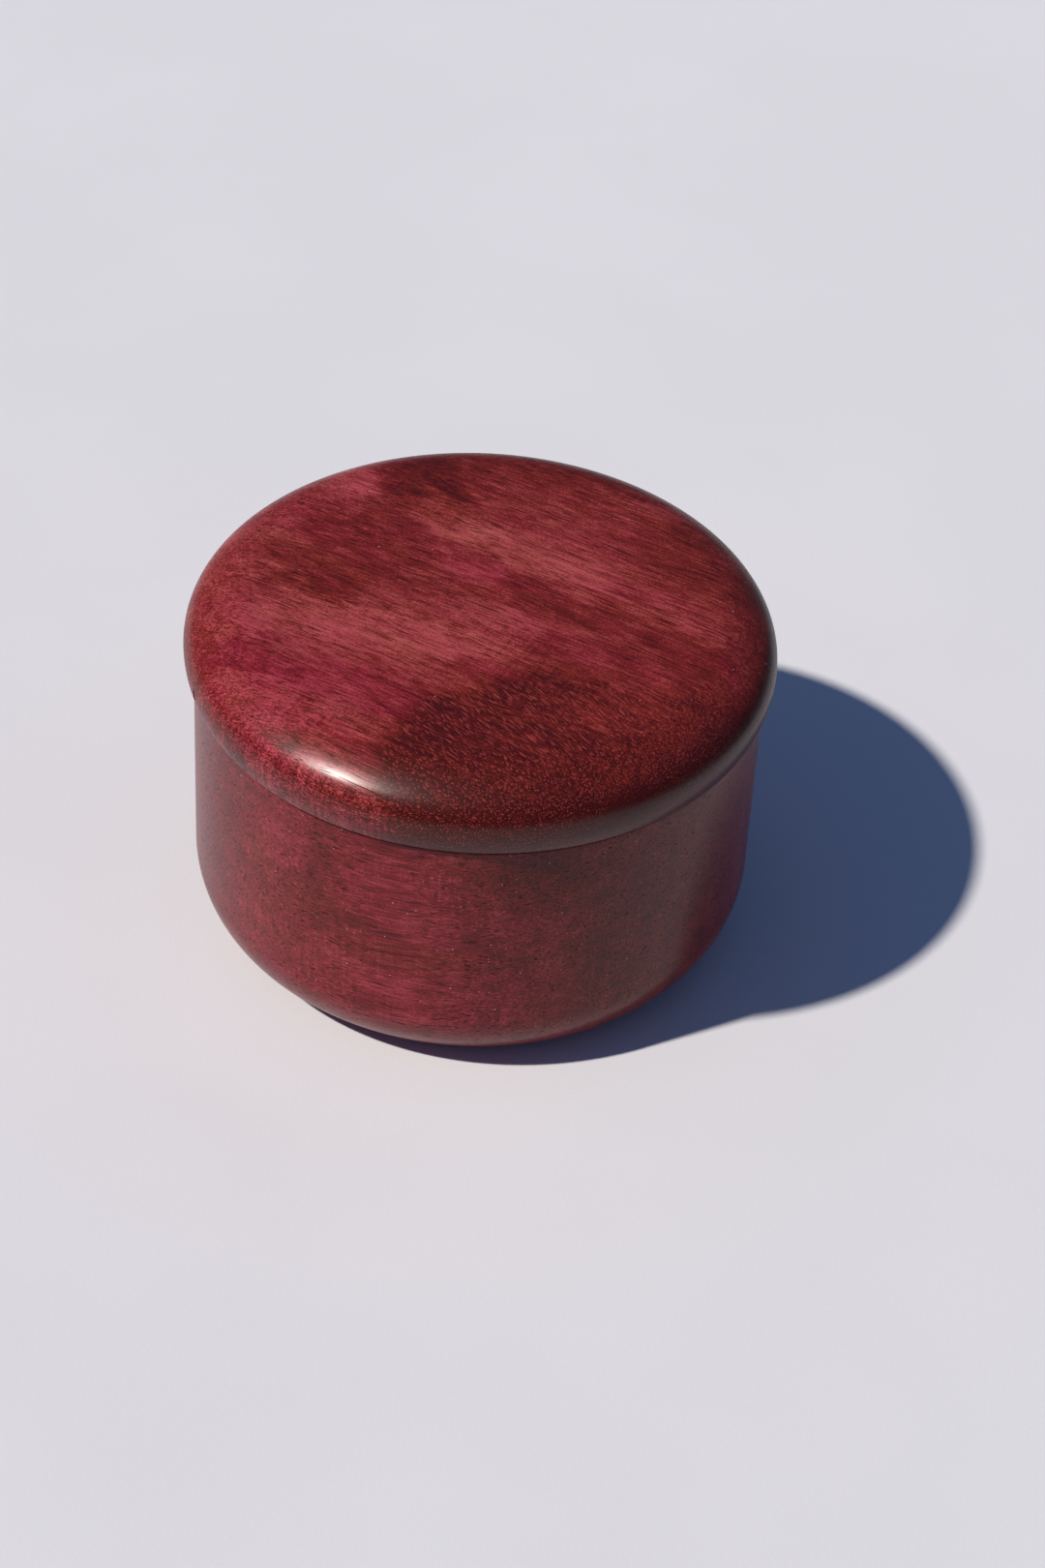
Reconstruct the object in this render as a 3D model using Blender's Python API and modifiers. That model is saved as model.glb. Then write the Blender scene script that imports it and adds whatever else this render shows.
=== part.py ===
"""Lidded bowl turned in purpleheart: a straight-walled bowl and a flat lid that lifts off.

Each piece is one profile swept round the upright axis, as on a lathe. The lid's spigot drops into
the bowl's mouth, and the lid's edge reaches out past the wall and rounds back under to the seat.
"""

import math

import bpy

# Sizes of the bowl, in metres. The floor is the wood between the inside and the foot's recess.
BOWL_RADIUS = 0.0483
BOWL_HEIGHT = 0.0512
WALL_THICKNESS = 0.0060
FLOOR_THICKNESS = 0.0065
OUTER_CORNER_RADIUS = 0.0138
INNER_CORNER_RADIUS = 0.0110
RIM_ROUNDING = 0.0007
FOOT_RING_WIDTH = 0.0045
FOOT_RECESS_DEPTH = 0.0015
FOOT_RECESS_ROUNDING = 0.0008

# Sizes of the lid, in metres. Its seat is the face that lies on the rim, outside the spigot.
LID_OVERHANG = 0.0017
LID_WIDEST_ABOVE_SEAT = 0.0045
LID_EDGE_TUCK = 0.0010
LID_EDGE_ROUNDING = 0.0004
SHOULDER_RADIUS = 0.0062
EASING_RADIUS = 0.0150
CROWN_RISE = 0.0005
LID_THICKNESS = 0.0065
SPIGOT_DEPTH = 0.0050
SPIGOT_WALL = 0.0045
SPIGOT_ROUNDING = 0.0008
HOLLOW_CORNER_RADIUS = 0.0075

# Clearances between the two pieces, in metres
SEAT_CLEARANCE = 0.0003
SPIGOT_CLEARANCE = 0.0003

# Slope of the lid's shoulder where its radius grows into the easing, from level outwards
EASING_START = math.radians(51)

# Facets
TURN_STEPS = 96
BROAD_ARC_FACETS = 8
FINE_ARC_FACETS = 3
CROWN_FACETS = 5
EASING_FACETS = 5
SHOULDER_FACETS = 6
TUCK_FACETS = 4
MERGE_DISTANCE = 0.00001

# Woods, as linear colour and roughness
BOWL_WOOD = ((0.145, 0.034, 0.039), 0.38)
LID_WOOD = ((0.190, 0.034, 0.038), 0.36)

# Places that follow from the sizes
LID_SEAT_Z = BOWL_HEIGHT + SEAT_CLEARANCE
LID_RADIUS = BOWL_RADIUS + LID_OVERHANG
MOUTH_RADIUS = BOWL_RADIUS - WALL_THICKNESS
INSIDE_FLOOR_Z = FOOT_RECESS_DEPTH + FLOOR_THICKNESS


def clear_scene():
    for existing in list(bpy.data.objects):
        bpy.data.objects.remove(existing, do_unlink=True)


def arc(centre, radius, start, end, facets):
    """Points (r, z) on a circular arc, both ends included; angles in radians from +r towards +z."""
    points = []
    for step in range(facets + 1):
        angle = start + (end - start) * step / facets
        points.append((centre[0] + radius * math.cos(angle), centre[1] + radius * math.sin(angle)))
    return points


def rounding_of(corner):
    return corner[2] if len(corner) > 2 else 0.0


def fillet(before, corner, after):
    """Points of the arc that rounds a corner. Two roundings on one side share its length."""
    r, z, rounding, facets = corner
    to_before = (before[0] - r, before[1] - z)
    to_after = (after[0] - r, after[1] - z)
    length_before = math.hypot(*to_before)
    length_after = math.hypot(*to_after)
    unit_before = (to_before[0] / length_before, to_before[1] / length_before)
    unit_after = (to_after[0] / length_after, to_after[1] / length_after)
    dot = unit_before[0] * unit_after[0] + unit_before[1] * unit_after[1]
    half_angle = math.acos(dot) / 2

    room_before = length_before * rounding / (rounding + rounding_of(before))
    room_after = length_after * rounding / (rounding + rounding_of(after))
    setback = min(rounding / math.tan(half_angle), room_before, room_after)

    middle = (unit_before[0] + unit_after[0], unit_before[1] + unit_after[1])
    reach = setback / math.cos(half_angle) / math.hypot(*middle)
    centre = (r + middle[0] * reach, z + middle[1] * reach)
    first = (r + unit_before[0] * setback, z + unit_before[1] * setback)
    last = (r + unit_after[0] * setback, z + unit_after[1] * setback)
    start = math.atan2(first[1] - centre[1], first[0] - centre[0])
    end = math.atan2(last[1] - centre[1], last[0] - centre[0])
    turn = (end - start + math.pi) % math.tau - math.pi
    return arc(centre, setback * math.tan(half_angle), start, start + turn, facets)


def rounded_profile(corners):
    """Outline through corners (r, z) or (r, z, rounding, facets), from one end to the other."""
    points = []
    for index, corner in enumerate(corners):
        if rounding_of(corner) == 0.0:
            points.append(corner[:2])
        else:
            points.extend(fillet(corners[index - 1], corner, corners[index + 1]))
    return points


def wood(name, colour, roughness):
    material = bpy.data.materials.new(name)
    material.use_nodes = True
    shader = material.node_tree.nodes["Principled BSDF"]
    shader.inputs["Base Color"].default_value = (*colour, 1.0)
    shader.inputs["Roughness"].default_value = roughness
    shader.inputs["Metallic"].default_value = 0.0
    return material


def turned_piece(name, profile, material, collection, parent, height):
    """One solid turned from a profile that runs from the axis, down the outer side, to the axis."""
    mesh = bpy.data.meshes.new(name)
    vertices = [(r, 0.0, z) for r, z in profile]
    edges = [(index, index + 1) for index in range(len(profile) - 1)]
    mesh.from_pydata(vertices, edges, [])
    mesh.materials.append(material)

    piece = bpy.data.objects.new(name, mesh)
    piece.location = (0.0, 0.0, height)
    piece.parent = parent
    collection.objects.link(piece)

    sweep = piece.modifiers.new("Turning", "SCREW")
    sweep.axis = "Z"
    sweep.angle = math.tau
    sweep.steps = TURN_STEPS
    sweep.render_steps = TURN_STEPS
    sweep.use_merge_vertices = True
    sweep.merge_threshold = MERGE_DISTANCE
    sweep.use_smooth_shade = True

    piece.modifiers.new("Even shading", "WEIGHTED_NORMAL")


def bowl_profile():
    """From the middle of the inside floor up to the rim, down the wall and under to the recess."""
    recess_radius = BOWL_RADIUS - OUTER_CORNER_RADIUS - FOOT_RING_WIDTH
    return rounded_profile([
        (0.0, INSIDE_FLOOR_Z),
        (MOUTH_RADIUS, INSIDE_FLOOR_Z, INNER_CORNER_RADIUS, BROAD_ARC_FACETS),
        (MOUTH_RADIUS, BOWL_HEIGHT, RIM_ROUNDING, FINE_ARC_FACETS),
        (BOWL_RADIUS, BOWL_HEIGHT, RIM_ROUNDING, FINE_ARC_FACETS),
        (BOWL_RADIUS, 0.0, OUTER_CORNER_RADIUS, BROAD_ARC_FACETS),
        (recess_radius, 0.0),
        (recess_radius, FOOT_RECESS_DEPTH, FOOT_RECESS_ROUNDING, FINE_ARC_FACETS),
        (0.0, FOOT_RECESS_DEPTH),
    ])


def lid_profile():
    """From the middle of the crown, over the shoulder and back under, round the spigot, to the
    middle of the hollow. Heights are above the seat, the face that rests on the rim."""
    shoulder_centre = (LID_RADIUS - SHOULDER_RADIUS, LID_WIDEST_ABOVE_SEAT)

    # The shoulder eases into a wider arc, which touches it where the easing starts.
    growth = EASING_RADIUS - SHOULDER_RADIUS
    easing_centre = (
        shoulder_centre[0] - growth * math.cos(EASING_START),
        shoulder_centre[1] - growth * math.sin(EASING_START),
    )

    # The crown is a very wide arc that runs into the easing without a break.
    rise = EASING_RADIUS + CROWN_RISE
    crown_height = easing_centre[1] + rise
    crown_radius = (rise**2 + easing_centre[0] ** 2 - EASING_RADIUS**2) / (2 * CROWN_RISE)
    crown_centre = (0.0, crown_height - crown_radius)
    meeting_angle = math.atan2(easing_centre[1] - crown_centre[1], easing_centre[0])

    # Below its widest line the edge tucks in along an arc that starts upright.
    tuck_radius = (LID_WIDEST_ABOVE_SEAT**2 + LID_EDGE_TUCK**2) / (2 * LID_EDGE_TUCK)
    tuck_centre = (LID_RADIUS - tuck_radius, LID_WIDEST_ABOVE_SEAT)
    tuck_angle = -math.asin(LID_WIDEST_ABOVE_SEAT / tuck_radius)

    crown = arc(crown_centre, crown_radius, math.pi / 2, meeting_angle, CROWN_FACETS)
    easing = arc(easing_centre, EASING_RADIUS, meeting_angle, EASING_START, EASING_FACETS)
    shoulder = arc(shoulder_centre, SHOULDER_RADIUS, EASING_START, 0.0, SHOULDER_FACETS)
    tuck = arc(tuck_centre, tuck_radius, 0.0, tuck_angle, TUCK_FACETS)

    spigot_radius = MOUTH_RADIUS - SPIGOT_CLEARANCE
    hollow_radius = spigot_radius - SPIGOT_WALL
    hollow_height = crown_height - LID_THICKNESS
    return rounded_profile([
        *crown,
        *easing[1:],
        *shoulder[1:],
        *tuck[1:-1],
        (*tuck[-1], LID_EDGE_ROUNDING, FINE_ARC_FACETS),
        (spigot_radius, 0.0),
        (spigot_radius, -SPIGOT_DEPTH, SPIGOT_ROUNDING, FINE_ARC_FACETS),
        (hollow_radius, -SPIGOT_DEPTH, SPIGOT_ROUNDING, FINE_ARC_FACETS),
        (hollow_radius, hollow_height, HOLLOW_CORNER_RADIUS, BROAD_ARC_FACETS),
        (0.0, hollow_height),
    ])


def build():
    clear_scene()
    collection = bpy.data.collections.new("lidded_bowl")
    bpy.context.scene.collection.children.link(collection)
    stand = bpy.data.objects.new("lidded_bowl", None)
    collection.objects.link(stand)

    bowl_wood = wood("bowl_wood", *BOWL_WOOD)
    lid_wood = wood("lid_wood", *LID_WOOD)
    turned_piece("bowl", bowl_profile(), bowl_wood, collection, stand, 0.0)
    turned_piece("lid", lid_profile(), lid_wood, collection, stand, LID_SEAT_Z)


build()
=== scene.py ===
"""Looks of a small lidded bowl turned in purpleheart, on a pale floor in plain studio light.

The bowl and the lid are turned again from the same profiles as the model's solids, with finer
facets. Their wood is one procedural timber: every vessel, fibre and patch of figure runs through
the piece along the grain, so that it meets the wall, the rim and the foot as cut wood does.
"""

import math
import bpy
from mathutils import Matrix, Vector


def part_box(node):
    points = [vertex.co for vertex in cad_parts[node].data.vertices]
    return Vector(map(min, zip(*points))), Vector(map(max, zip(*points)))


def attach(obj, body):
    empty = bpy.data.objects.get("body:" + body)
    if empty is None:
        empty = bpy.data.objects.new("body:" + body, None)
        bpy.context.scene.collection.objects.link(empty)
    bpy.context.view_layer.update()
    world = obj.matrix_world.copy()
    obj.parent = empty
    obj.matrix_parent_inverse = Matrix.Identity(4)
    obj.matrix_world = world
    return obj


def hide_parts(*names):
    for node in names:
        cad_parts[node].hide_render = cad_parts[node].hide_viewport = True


bl_info = {
    "name": "Turned Lidded Bowl",
    "version": (1, 0, 0),
    "blender": (4, 5, 0),
    "location": "3D View > Sidebar > Turned Bowl",
    "description": "Turns a purpleheart bowl and its lid, and sets a pale studio round them",
    "category": "Object",
}

from collections import namedtuple
from functools import cache

import bmesh
import bpy
from bpy.props import FloatProperty, FloatVectorProperty, IntProperty, PointerProperty
from mathutils import Matrix, Vector, noise

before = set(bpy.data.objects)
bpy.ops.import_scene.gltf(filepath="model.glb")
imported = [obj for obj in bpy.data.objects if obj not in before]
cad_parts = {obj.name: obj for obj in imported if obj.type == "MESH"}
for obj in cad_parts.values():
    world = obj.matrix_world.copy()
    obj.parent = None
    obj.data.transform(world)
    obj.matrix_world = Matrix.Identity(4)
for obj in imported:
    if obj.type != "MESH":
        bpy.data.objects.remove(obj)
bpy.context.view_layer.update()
BOWL_LOW, BOWL_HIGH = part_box("bowl")
LID_LOW, LID_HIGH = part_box("lid")

MM = 0.001

# Meshes
RING_SPACING = 1.2 * MM
BROAD_ARC_FACETS = 28
NARROW_ARC_FACETS = 8
MERGE_DISTANCE = 0.001 * MM
SHARP_ANGLE = math.radians(38)
CHIP_REACH = 2.4 * MM
CHIP_CUTS = 6
CHIP_OUTLINE_GRAIN = 0.45 * MM
CHIP_RAGGEDNESS = 0.5
CHIP_FLOOR_GRAIN = 0.2 * MM
CHIP_FLOOR_MIDDLE = 0.8
CHIP_FLOOR_UNEVENNESS = 0.4
CHIP_STEEPNESS = 8

# Floor: its fade starts at this share of its length from the middle. Clouds and tooth are noise
# with so many cells per metre. The clouds pass from dark to light between two values of theirs.
FADE_START = 0.42
CLOUD_CELLS = 14.0
CLOUD_VALUES = (0.35, 0.65)
TOOTH_CELLS = 1400.0
TOOTH_HEIGHT = 0.02 * MM

# The fill rises from low to high between these heights of a direction, as its sine.
FILL_RISE = (0.05, 0.55)

# Node editor
NODES_PER_COLUMN = 6
NODE_STEP = (220, 200)


# Properties


def length(name, description, default):
    return FloatProperty(name=name, description=description, default=default, unit="LENGTH")


def angle(name, description, degrees):
    return FloatProperty(
        name=name, description=description, default=math.radians(degrees), subtype="ANGLE"
    )


def colour(name, description, default):
    return FloatVectorProperty(
        name=name, description=description, default=default, subtype="COLOR", min=0.0, max=1.0
    )


def number(name, description, default):
    return FloatProperty(name=name, description=description, default=default)


class BowlSizes(bpy.types.PropertyGroup):
    """Sizes of the bowl. Its outside comes from the frame."""

    radius: length("Radius", "Outside radius of the straight wall", BOWL_HIGH.x)
    height: length("Height", "Height of the rim above the floor", BOWL_HIGH.z)
    wall: length("Wall", "Thickness of the wall", 6.0 * MM)
    floor: length("Floor", "Wood between the inside and the recess under the foot", 6.5 * MM)
    outer_corner: length("Outer corner", "Radius where the wall turns under", 13.8 * MM)
    inner_corner: length("Inner corner", "Radius between inside wall and inside floor", 11.0 * MM)
    rim_rounding: length("Rim rounding", "Radius of the rim's two edges", 0.7 * MM)
    foot_ring: length("Foot ring", "Width of the ring that the bowl stands on", 4.5 * MM)
    recess: length("Recess", "Depth of the recess inside the foot ring", 1.5 * MM)
    recess_rounding: length("Recess rounding", "Radius in the recess's corner", 0.8 * MM)
    grain: angle("Grain", "Direction of the grain, turned from +X about the upright axis", -14)


class LidSizes(bpy.types.PropertyGroup):
    """Sizes of the lid. Its outside comes from the frame."""

    radius: length("Radius", "Radius at the widest line", LID_HIGH.x)
    top: length("Top", "Height of the middle of the crown", LID_HIGH.z)
    bottom: length("Bottom", "Height of the spigot's lower end", LID_LOW.z)
    spigot_depth: length("Spigot depth", "How far the spigot reaches below the seat", 5.0 * MM)
    spigot_wall: length("Spigot wall", "Thickness of the spigot", 4.5 * MM)
    spigot_rounding: length("Spigot rounding", "Radius of the spigot's lower edges", 0.8 * MM)
    clearance: length("Clearance", "Gap between the spigot and the bowl's mouth", 0.3 * MM)
    widest: length("Widest line", "Height of the widest line above the seat", 4.5 * MM)
    tuck: length("Edge tuck", "How far the edge draws in below its widest line", 1.0 * MM)
    edge_rounding: length("Edge rounding", "Radius of the lower edge at the seat", 0.4 * MM)
    shoulder: length("Shoulder", "Radius of the rounded shoulder", 6.2 * MM)
    easing: length("Easing", "Wider radius that the shoulder grows into", 15.0 * MM)
    easing_start: angle("Easing start", "Slope of the shoulder where the easing starts", 51)
    thickness: length("Thickness", "Wood between the crown and the hollow", 6.5 * MM)
    hollow_corner: length("Hollow corner", "Radius round the hollow's ceiling", 7.5 * MM)
    chip_heading: angle("Chip heading", "Side of the chip, turned from -Y towards -X", 68.6)
    chip_height: length("Chip height", "Middle of the chip above the seat", 3.7 * MM)
    chip_width: length("Chip width", "Half the chip's width", 0.5 * MM)
    chip_tall: length("Chip tallness", "Half the chip's height", 1.3 * MM)
    chip_depth: length("Chip depth", "Depth of the chip", 0.80 * MM)
    grain: angle("Grain", "Direction of the grain, turned from +X about the upright axis", -27)


class PurpleheartLook(bpy.types.PropertyGroup):
    """Colours, finish and facets of both pieces."""

    brown_dark: colour("Brown, dark", "Deepest brown heartwood", (0.050, 0.0019, 0.0002))
    brown_mid: colour("Brown, middle", "Middle brown heartwood", (0.175, 0.0140, 0.0058))
    brown_light: colour("Brown, light", "Palest brown heartwood, near rose", (0.430, 0.082, 0.074))
    magenta_dark: colour("Magenta, dark", "Deepest magenta heartwood", (0.058, 0.0013, 0.0020))
    magenta_mid: colour("Magenta, middle", "Middle magenta heartwood", (0.190, 0.0082, 0.0145))
    magenta_light: colour("Magenta, light", "Palest magenta heartwood", (0.430, 0.052, 0.078))
    vessel: colour("Vessels", "Wood in the shade of an open vessel", (0.050, 0.0065, 0.0045))
    fleck: colour("Flecks", "Pale cut fibres where the grain dives", (0.405, 0.058, 0.046))
    dust: colour("Dust", "Dust that lies on the wood", (0.600, 0.450, 0.370))
    roughness: number("Roughness", "Roughness of the bare wood", 0.45)
    specular: number("Specular", "Specular level of the bare wood", 0.08)
    ior: number("IOR", "Index of refraction of the bare wood", 1.45)
    oil_roughness: number("Oil roughness", "Roughness of the rubbed oil finish", 0.28)
    steps: IntProperty(name="Steps", description="Steps round each turned piece", default=288)


class StudioLook(bpy.types.PropertyGroup):
    """Floor, light and camera."""

    floor_colour: colour("Floor", "Colour of the floor", (0.710, 0.692, 0.715))
    floor_width: length("Floor width", "Length of the floor along X", 0.70)
    floor_depth: length("Floor depth", "Length of the floor along Y", 0.78)
    floor_shift: length("Floor shift", "How far the floor's middle lies to the left", 0.09)
    floor_roughness: number("Floor roughness", "Roughness of the floor's paint", 0.75)
    floor_specular: number("Floor specular", "Specular level of the floor's paint", 0.25)
    floor_unevenness: number("Floor unevenness", "Darkening in the paint's faint clouds", 0.025)
    backdrop: colour("Backdrop", "What shows past the edge of the floor", (0.700, 0.688, 0.738))
    key_strength: number("Key strength", "Strength of the key light", 3.83)
    key_colour: colour("Key colour", "Colour of the key light", (1.0, 0.954, 0.880))
    key_softness: angle("Key softness", "Width of the key light, seen from the bowl", 2.2)
    key_heading: angle("Key heading", "Side of the key light, turned from -X towards -Y", 26.56)
    key_elevation: angle("Key elevation", "Height of the key light above the horizon", 50.81)
    fill_low: colour("Fill, low", "Light from near the horizon", (0.031, 0.046, 0.087))
    fill_high: colour("Fill, high", "Light from overhead", (0.070, 0.117, 0.240))
    camera_place: FloatVectorProperty(
        name="Camera",
        description="Place of the camera",
        default=(0.00843, -0.48920, 0.44095),
        subtype="TRANSLATION",
        unit="LENGTH",
    )
    camera_pitch: angle("Camera pitch", "How far the camera looks below the horizon", 40.373)
    camera_roll: angle("Camera roll", "Turn of the camera about its own axis", 3.506)
    lens: number("Lens", "Focal length in millimetres, for a frame 36 mm on its long side", 84.78)


# Profiles, as points (r, z)


def arc(centre, radius, start, end, facets):
    """Points on a circular arc, both ends included; angles in radians from +r towards +z."""
    points = []
    for step in range(facets + 1):
        turn = start + (end - start) * step / facets
        points.append((centre[0] + radius * math.cos(turn), centre[1] + radius * math.sin(turn)))
    return points


def rounding_of(corner):
    return corner[2] if len(corner) > 2 else 0.0


def fillet(before, corner, after):
    """Points of the arc that rounds a corner. Two roundings on one side share its length."""
    r, z, rounding, facets = corner
    to_before = Vector((before[0] - r, before[1] - z))
    to_after = Vector((after[0] - r, after[1] - z))
    half_angle = to_before.angle(to_after) / 2
    room_before = to_before.length * rounding / (rounding + rounding_of(before))
    room_after = to_after.length * rounding / (rounding + rounding_of(after))
    setback = min(rounding / math.tan(half_angle), room_before, room_after)

    middle = (to_before.normalized() + to_after.normalized()).normalized()
    centre = Vector((r, z)) + middle * (setback / math.cos(half_angle))
    first = Vector((r, z)) + to_before.normalized() * setback - centre
    last = Vector((r, z)) + to_after.normalized() * setback - centre
    start = math.atan2(first.y, first.x)
    sweep = (math.atan2(last.y, last.x) - start + math.pi) % math.tau - math.pi
    return arc(centre, first.length, start, start + sweep, facets)


def rounded_profile(corners):
    """Outline through corners (r, z) or (r, z, rounding, facets), from one end to the other."""
    points = []
    for index, corner in enumerate(corners):
        if rounding_of(corner) == 0.0:
            points.append(corner[:2])
        else:
            points.extend(fillet(corners[index - 1], corner, corners[index + 1]))
    return points


def evenly_spaced(points):
    """The same outline with its long stretches divided, so that no face is much too long."""
    result = [points[0]]
    for start, end in zip(points, points[1:]):
        parts = max(1, math.ceil(math.dist(start, end) / RING_SPACING))
        for part in range(1, parts + 1):
            share = part / parts
            r = start[0] + (end[0] - start[0]) * share
            z = start[1] + (end[1] - start[1]) * share
            result.append((r, z))
    return result


def bowl_profile(bowl):
    """From the middle of the inside floor up to the rim, down the wall and under to the recess."""
    mouth = bowl.radius - bowl.wall
    foot = BOWL_LOW.z
    inside_floor = foot + bowl.recess + bowl.floor
    recess_radius = bowl.radius - bowl.outer_corner - bowl.foot_ring
    return rounded_profile([
        (0.0, inside_floor),
        (mouth, inside_floor, bowl.inner_corner, BROAD_ARC_FACETS),
        (mouth, bowl.height, bowl.rim_rounding, NARROW_ARC_FACETS),
        (bowl.radius, bowl.height, bowl.rim_rounding, NARROW_ARC_FACETS),
        (bowl.radius, foot, bowl.outer_corner, BROAD_ARC_FACETS),
        (recess_radius, foot),
        (recess_radius, foot + bowl.recess, bowl.recess_rounding, NARROW_ARC_FACETS),
        (0.0, foot + bowl.recess),
    ])


def lid_profile(lid, mouth):
    """From the middle of the crown, over the shoulder and back under, round the spigot, to the
    middle of the hollow."""
    seat = lid.bottom + lid.spigot_depth
    shoulder_centre = (lid.radius - lid.shoulder, seat + lid.widest)

    # The shoulder eases into a wider arc, which touches it where the easing starts.
    growth = lid.easing - lid.shoulder
    easing_centre = (
        shoulder_centre[0] - growth * math.cos(lid.easing_start),
        shoulder_centre[1] - growth * math.sin(lid.easing_start),
    )

    # The crown is a very wide arc that runs into the easing without a break.
    rise = lid.top - easing_centre[1]
    across = rise**2 + easing_centre[0] ** 2 - lid.easing**2
    crown_radius = across / (2 * (rise - lid.easing))
    crown_centre = (0.0, lid.top - crown_radius)
    meeting = math.atan2(easing_centre[1] - crown_centre[1], easing_centre[0])

    # Below its widest line the edge tucks in along an arc that starts upright.
    tuck_radius = (lid.widest**2 + lid.tuck**2) / (2 * lid.tuck)
    tuck_centre = (lid.radius - tuck_radius, shoulder_centre[1])
    tuck_end = -math.asin(lid.widest / tuck_radius)

    crown = arc(crown_centre, crown_radius, math.pi / 2, meeting, BROAD_ARC_FACETS)
    easing = arc(easing_centre, lid.easing, meeting, lid.easing_start, BROAD_ARC_FACETS)
    shoulder = arc(shoulder_centre, lid.shoulder, lid.easing_start, 0.0, BROAD_ARC_FACETS)
    tuck = arc(tuck_centre, tuck_radius, 0.0, tuck_end, NARROW_ARC_FACETS)

    spigot = mouth - lid.clearance
    hollow = spigot - lid.spigot_wall
    ceiling = lid.top - lid.thickness
    return rounded_profile([
        *crown,
        *easing[1:],
        *shoulder[1:],
        *tuck[1:-1],
        (*tuck[-1], lid.edge_rounding, NARROW_ARC_FACETS),
        (spigot, seat),
        (spigot, lid.bottom, lid.spigot_rounding, NARROW_ARC_FACETS),
        (hollow, lid.bottom, lid.spigot_rounding, NARROW_ARC_FACETS),
        (hollow, ceiling, lid.hollow_corner, BROAD_ARC_FACETS),
        (0.0, ceiling),
    ])


# Turned meshes


def put_faces_in_order(shape):
    """Gives the faces the same order in each run, which spinning doesn't do by itself."""
    shape.verts.index_update()
    faces = sorted(shape.faces, key=lambda face: [corner.index for corner in face.verts])
    for place, face in enumerate(faces):
        face.index = place
    shape.faces.sort()


def turn_on_lathe(profile, steps):
    """A closed shape turned from a profile about the upright axis."""
    shape = bmesh.new()
    points = [shape.verts.new((r, 0.0, z)) for r, z in evenly_spaced(profile)]
    lines = [shape.edges.new(pair) for pair in zip(points, points[1:])]
    bmesh.ops.spin(
        shape,
        geom=points + lines,
        cent=(0.0, 0.0, 0.0),
        axis=(0.0, 0.0, 1.0),
        angle=math.tau,
        steps=steps,
        use_merge=True,
    )
    bmesh.ops.remove_doubles(shape, verts=shape.verts, dist=MERGE_DISTANCE)
    bmesh.ops.recalc_face_normals(shape, faces=shape.faces)
    put_faces_in_order(shape)
    return shape


def tear_chip(shape, place, size, depth):
    """Tears a small chip out of an upright edge, with a ragged outline and a rough floor."""
    near = [face for face in shape.faces if (face.calc_center_median() - place).length < CHIP_REACH]
    edges = list(dict.fromkeys(edge for face in near for edge in face.edges))
    bmesh.ops.subdivide_edges(shape, edges=edges, cuts=CHIP_CUTS, use_grid_fill=True)
    inwards = Vector((-place.x, -place.y, 0.0)).normalized()
    sideways = inwards.cross(Vector((0.0, 0.0, 1.0)))
    for vertex in shape.verts:
        offset = vertex.co - place
        if offset.length < CHIP_REACH:
            outline = 1.0 + CHIP_RAGGEDNESS * noise.noise(vertex.co / CHIP_OUTLINE_GRAIN)
            unevenness = CHIP_FLOOR_UNEVENNESS * noise.noise(vertex.co / CHIP_FLOOR_GRAIN)
            reach = math.hypot(offset.dot(sideways) / size[0], offset.z / size[1]) * outline
            bite = max(0.0, 1.0 - reach**CHIP_STEEPNESS) * (CHIP_FLOOR_MIDDLE + unevenness)
            vertex.co += inwards * depth * bite


def piece_from(shape, name, material):
    """A smooth-shaded object made from a shape, with its crisp edges marked."""
    mesh = bpy.data.meshes.new(name)
    shape.to_mesh(mesh)
    shape.free()
    mesh.shade_smooth()
    mesh.set_sharp_from_angle(angle=SHARP_ANGLE)
    mesh.materials.append(material)
    piece = bpy.data.objects.new(name, mesh)
    bpy.context.scene.collection.objects.link(piece)
    return piece


# Shader nodes


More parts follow.
